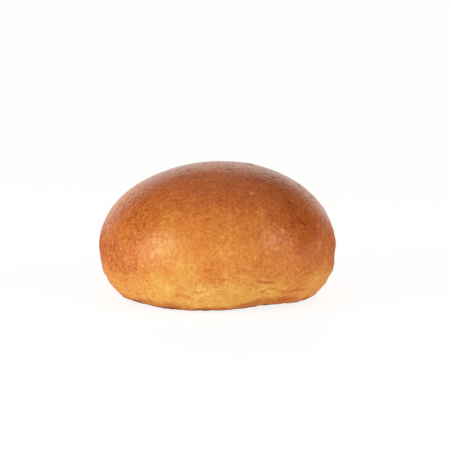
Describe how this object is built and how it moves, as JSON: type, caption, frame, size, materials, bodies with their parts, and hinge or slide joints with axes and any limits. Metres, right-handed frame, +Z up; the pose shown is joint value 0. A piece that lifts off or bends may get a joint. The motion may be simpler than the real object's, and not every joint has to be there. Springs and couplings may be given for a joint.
{
  "type": "bread roll",
  "caption": "Round glazed bread roll with a domed browned crown, paler sides that tuck in with small folds, and a flat baked underside to rest on.",
  "frame": {"origin": "middle of the flat underside, on the surface the roll stands on", "axes": "+Z up from the underside to the crown, +X to the right as seen from the front, -Y towards the front"},
  "size_m": [0.1, 0.098, 0.0566],
  "materials": {
    "crust": "satin"
  },
  "bodies": {
    "root": {"bread_roll": "crust"}
  },
  "joints": []
}
